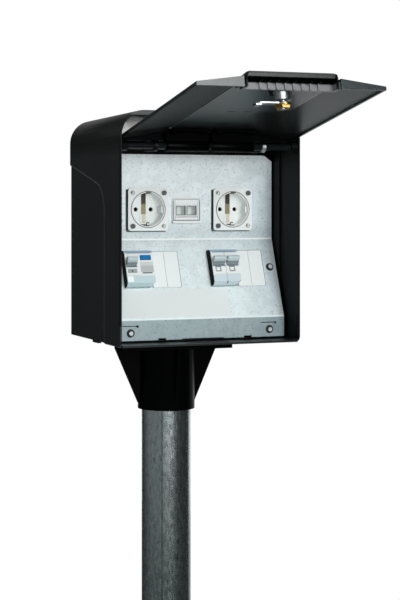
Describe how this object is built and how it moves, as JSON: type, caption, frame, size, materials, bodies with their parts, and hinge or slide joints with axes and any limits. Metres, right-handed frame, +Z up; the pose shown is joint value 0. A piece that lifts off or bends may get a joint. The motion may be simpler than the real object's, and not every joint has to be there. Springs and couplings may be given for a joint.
{
  "type": "garden socket post",
  "caption": "Lidded garden socket box on a pipe: black hood, bent steel panel with earthed sockets, data outlet and breakers, and a locking lid.",
  "frame": {"origin": "pipe's axis at its lower end", "axes": "+Z up along the pipe, the mouth of the box faces -Y, +X to the right as seen from the front"},
  "size_m": [0.2236, 0.3972, 0.8935],
  "materials": {
    "galvanised": "hot-dip galvanised, dull",
    "black_plastic": "fine-grained black",
    "adaptor_black": "smooth black",
    "rubber": "matt",
    "dark_steel": "black, glossy",
    "zinc_steel": "zinc plated",
    "label_paper": "bare paper label",
    "white_plastic": "smooth white",
    "jack_plastic": "dark",
    "grey_plastic": "smooth grey",
    "blue_plastic": "smooth blue",
    "brass": "plain",
    "lock_chrome": "nickel plated"
  },
  "bodies": {
    "post": {"pole": "galvanised", "transom_plate": "galvanised", "hinge_brackets": "galvanised", "device_panel": "galvanised", "din_rail": "galvanised", "rear_casing": "black_plastic", "front_hood": "black_plastic", "post_adaptor": "adaptor_black", "cable_grommet": "rubber", "hinge_rod": "dark_steel", "set_screws": "zinc_steel", "flange_bolts": "zinc_steel", "flange_nuts": "zinc_steel", "hood_screws": "zinc_steel", "transom_screws": "zinc_steel", "bracket_screws": "zinc_steel", "panel_screws": "zinc_steel", "socket_screws": "zinc_steel", "rail_screws": "zinc_steel", "terminal_screws": "zinc_steel", "label_sheet": "label_paper", "socket_left": "white_plastic", "socket_right": "white_plastic", "data_module": "white_plastic", "rcbo_body": "white_plastic", "mcb_body": "white_plastic", "blank_plates": "white_plastic", "data_jacks": "jack_plastic", "terminal_block": "blue_plastic", "earth_straps": "brass", "pin_contacts": "brass"},
    "lid": {"lid_shell": "black_plastic", "lid_hinges": "black_plastic", "lid_hinge_screws": "dark_steel", "lid_handle": "black_plastic", "handle_screws": "dark_steel", "lock_body": "lock_chrome", "lock_nut": "black_plastic"},
    "cam": {"lock_plug": "lock_chrome", "lock_cam": "lock_chrome", "cam_nut": "brass"},
    "rcbo_toggle_body": {"rcbo_toggle": "grey_plastic"},
    "mcb_toggle_body": {"mcb_toggle_left": "grey_plastic", "mcb_toggle_right": "grey_plastic", "toggle_tie": "grey_plastic"},
    "test_button_body": {"test_button": "blue_plastic"}
  },
  "joints": [
    {"name": "lid_hinge", "type": "hinge", "parent": "post", "child": "lid", "pos_m": [0, -0.1373, 0.8247], "axis": [1, 0, 0], "range_deg": [0, 101.3]},
    {"name": "lock_turn", "type": "hinge", "parent": "lid", "child": "cam", "pos_m": [0, -0.33086, 0.87164], "axis": [0, 0.1959, 0.9806], "range_deg": [0, 90]},
    {"name": "rcbo_switch", "type": "hinge", "parent": "post", "child": "rcbo_toggle_body", "pos_m": [0, -0.09746, 0.68882], "axis": [1, 0, 0], "range_deg": [0, 60]},
    {"name": "mcb_switch", "type": "hinge", "parent": "post", "child": "mcb_toggle_body", "pos_m": [0, -0.09746, 0.68882], "axis": [1, 0, 0], "range_deg": [0, 60]},
    {"name": "test_press", "type": "slide", "parent": "post", "child": "test_button_body", "axis": [0, 0.934, -0.3573], "range_m": [0, 0.0015], "stiffness_N_per_m": 300}
  ]
}
